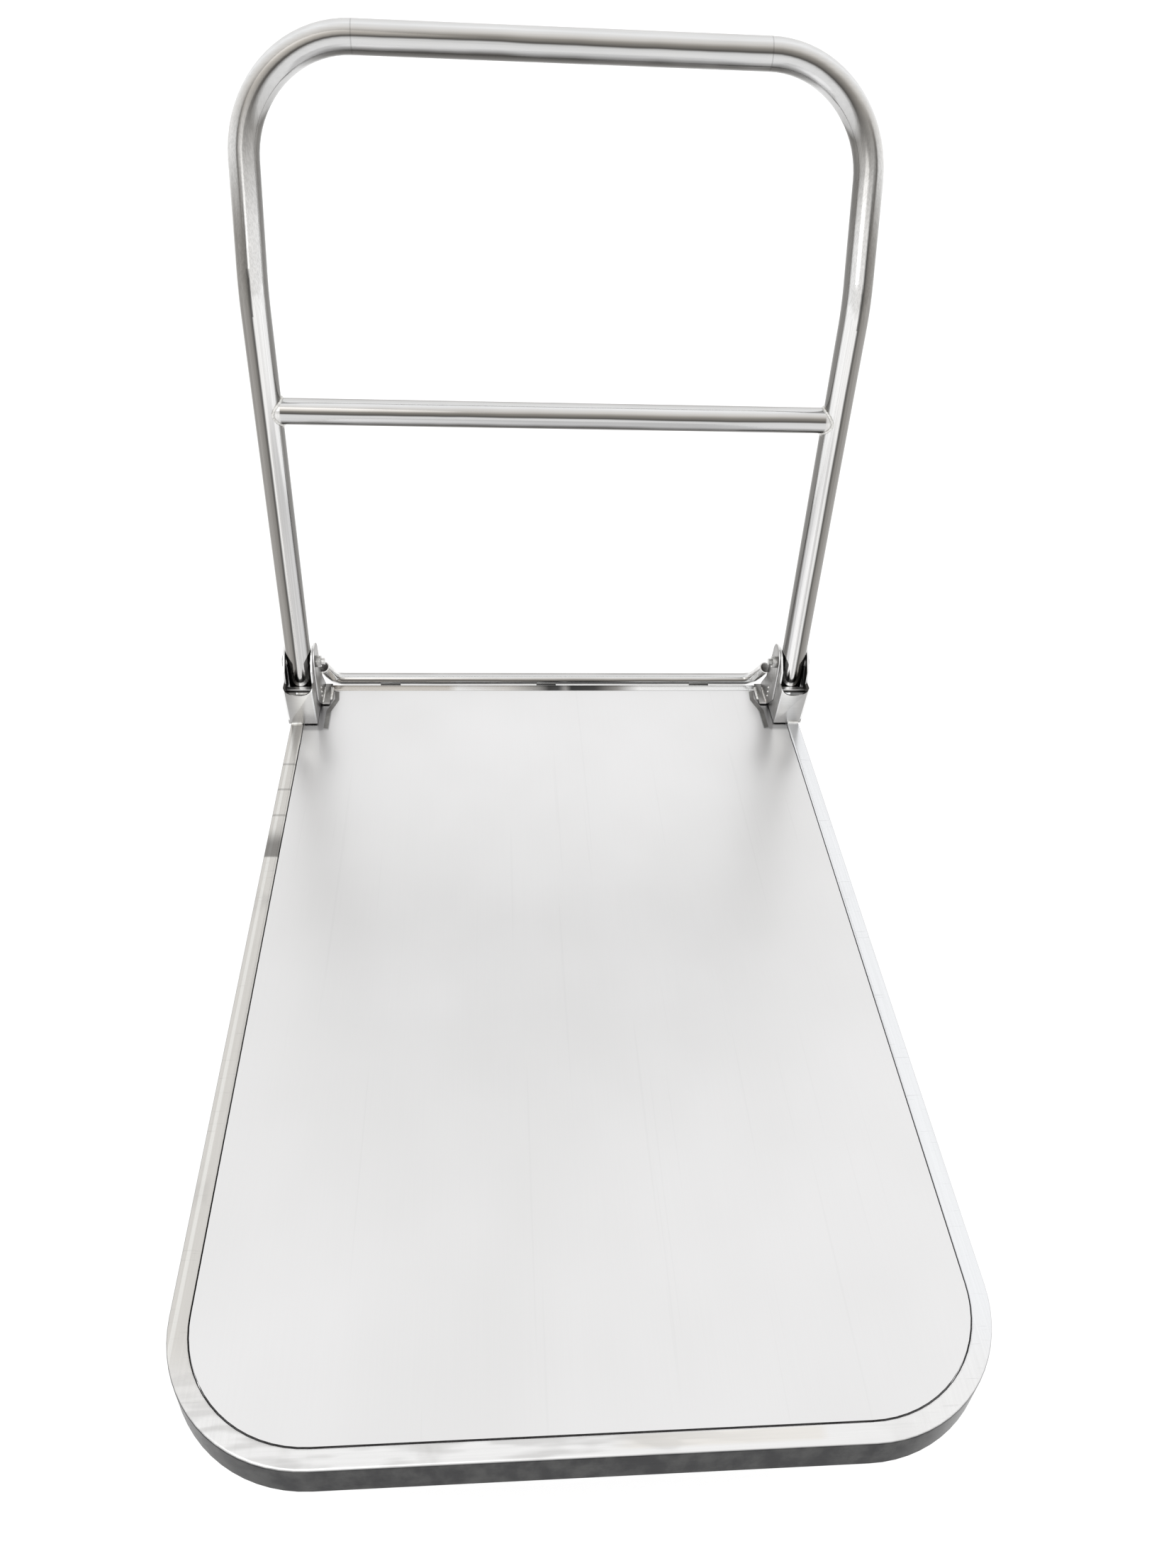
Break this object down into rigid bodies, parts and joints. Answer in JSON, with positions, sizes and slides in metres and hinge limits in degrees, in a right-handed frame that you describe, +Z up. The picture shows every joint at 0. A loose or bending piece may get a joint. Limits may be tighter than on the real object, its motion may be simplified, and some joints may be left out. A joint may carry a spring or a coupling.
{
  "type": "folding platform cart",
  "caption": "Flat steel deck in a bent tube frame, with a push handle that folds down over the deck and rigid and swivel casters underneath.",
  "frame": {"origin": "on the floor, under the middle of the cart's box with the handle up", "axes": "+X to the right, +Y from the front edge towards the handle, +Z up"},
  "size_m": [0.6076, 0.9211, 0.8881],
  "materials": {
    "frame_steel": "polished stainless tube with fine lengthwise streaks",
    "deck_steel": "fine brushed stainless sheet",
    "under_steel": "mill-finish stainless sheet",
    "bracket_steel": "satin stainless sheet with bright cut edges",
    "bar_steel": "polished stainless tube",
    "handle_steel": "polished stainless tube",
    "fastener_steel": "turned bright steel",
    "weld_metal": "rippled weld metal",
    "plug_plastic": "moulded black plastic",
    "caster_steel": "zinc-plated pressed steel",
    "wheel_nylon": "moulded grey nylon",
    "tyre_rubber": "dark grey rubber",
    "bearing_steel": "ground bearing steel"
  },
  "bodies": {
    "cart": {"perimeter_tube": "frame_steel", "rear_rail": "frame_steel", "deck_sheet": "deck_steel", "deck_ribs": "under_steel", "front_channel": "under_steel", "rear_channel": "under_steel", "left_bracket": "bracket_steel", "right_bracket": "bracket_steel", "left_ear_plate": "bracket_steel", "right_ear_plate": "bracket_steel", "stop_bars": "bracket_steel", "rear_bar": "bar_steel", "bar_tabs": "bar_steel", "pivot_bolts": "fastener_steel", "pivot_nuts": "fastener_steel", "caster_bolts": "fastener_steel", "caster_nuts": "fastener_steel", "front_left_axle_bolt": "fastener_steel", "front_left_axle_nut": "fastener_steel", "front_right_axle_bolt": "fastener_steel", "front_right_axle_nut": "fastener_steel", "rear_left_kingpin": "fastener_steel", "rear_right_kingpin": "fastener_steel", "frame_welds": "weld_metal", "rail_end_plugs": "plug_plastic", "front_left_plate": "caster_steel", "front_left_fork": "caster_steel", "front_right_plate": "caster_steel", "front_right_fork": "caster_steel", "rear_left_plate": "caster_steel", "rear_left_upper_race": "caster_steel", "rear_right_plate": "caster_steel", "rear_right_upper_race": "caster_steel"},
    "handle": {"handle_tube": "handle_steel", "crossbar": "handle_steel", "crossbar_welds": "weld_metal", "leg_end_caps": "handle_steel", "pivot_sleeves": "handle_steel"},
    "rear_left_swivel": {"rear_left_lower_race": "caster_steel", "rear_left_fork": "caster_steel", "rear_left_axle_bolt": "fastener_steel", "rear_left_axle_nut": "fastener_steel"},
    "rear_right_swivel": {"rear_right_lower_race": "caster_steel", "rear_right_fork": "caster_steel", "rear_right_axle_bolt": "fastener_steel", "rear_right_axle_nut": "fastener_steel"},
    "front_left_wheel": {"front_left_wheel_core": "wheel_nylon", "front_left_tyre": "tyre_rubber", "front_left_bearings": "bearing_steel"},
    "front_right_wheel": {"front_right_wheel_core": "wheel_nylon", "front_right_tyre": "tyre_rubber", "front_right_bearings": "bearing_steel"},
    "rear_left_wheel": {"rear_left_wheel_core": "wheel_nylon", "rear_left_tyre": "tyre_rubber", "rear_left_bearings": "bearing_steel"},
    "rear_right_wheel": {"rear_right_wheel_core": "wheel_nylon", "rear_right_tyre": "tyre_rubber", "rear_right_bearings": "bearing_steel"}
  },
  "joints": [
    {"name": "handle_fold", "type": "hinge", "parent": "cart", "child": "handle", "pos_m": [0, 0.38144, 0.266], "axis": [1, 0, 0], "range_deg": [0, 98]},
    {"name": "rear_left_swivel_turn", "type": "hinge", "parent": "cart", "child": "rear_left_swivel", "pos_m": [-0.22, 0.29444, 0.15], "axis": [0, 0, 1], "continuous": true},
    {"name": "rear_right_swivel_turn", "type": "hinge", "parent": "cart", "child": "rear_right_swivel", "pos_m": [0.22, 0.29444, 0.15], "axis": [0, 0, 1], "continuous": true},
    {"name": "front_left_wheel_spin", "type": "hinge", "parent": "cart", "child": "front_left_wheel", "pos_m": [-0.22, -0.29056, 0.0625], "axis": [1, 0, 0], "continuous": true},
    {"name": "front_right_wheel_spin", "type": "hinge", "parent": "cart", "child": "front_right_wheel", "pos_m": [0.22, -0.29056, 0.0625], "axis": [1, 0, 0], "continuous": true},
    {"name": "rear_left_wheel_spin", "type": "hinge", "parent": "rear_left_swivel", "child": "rear_left_wheel", "pos_m": [-0.22, 0.33244, 0.0625], "axis": [1, 0, 0], "continuous": true},
    {"name": "rear_right_wheel_spin", "type": "hinge", "parent": "rear_right_swivel", "child": "rear_right_wheel", "pos_m": [0.22, 0.33244, 0.0625], "axis": [1, 0, 0], "continuous": true}
  ]
}
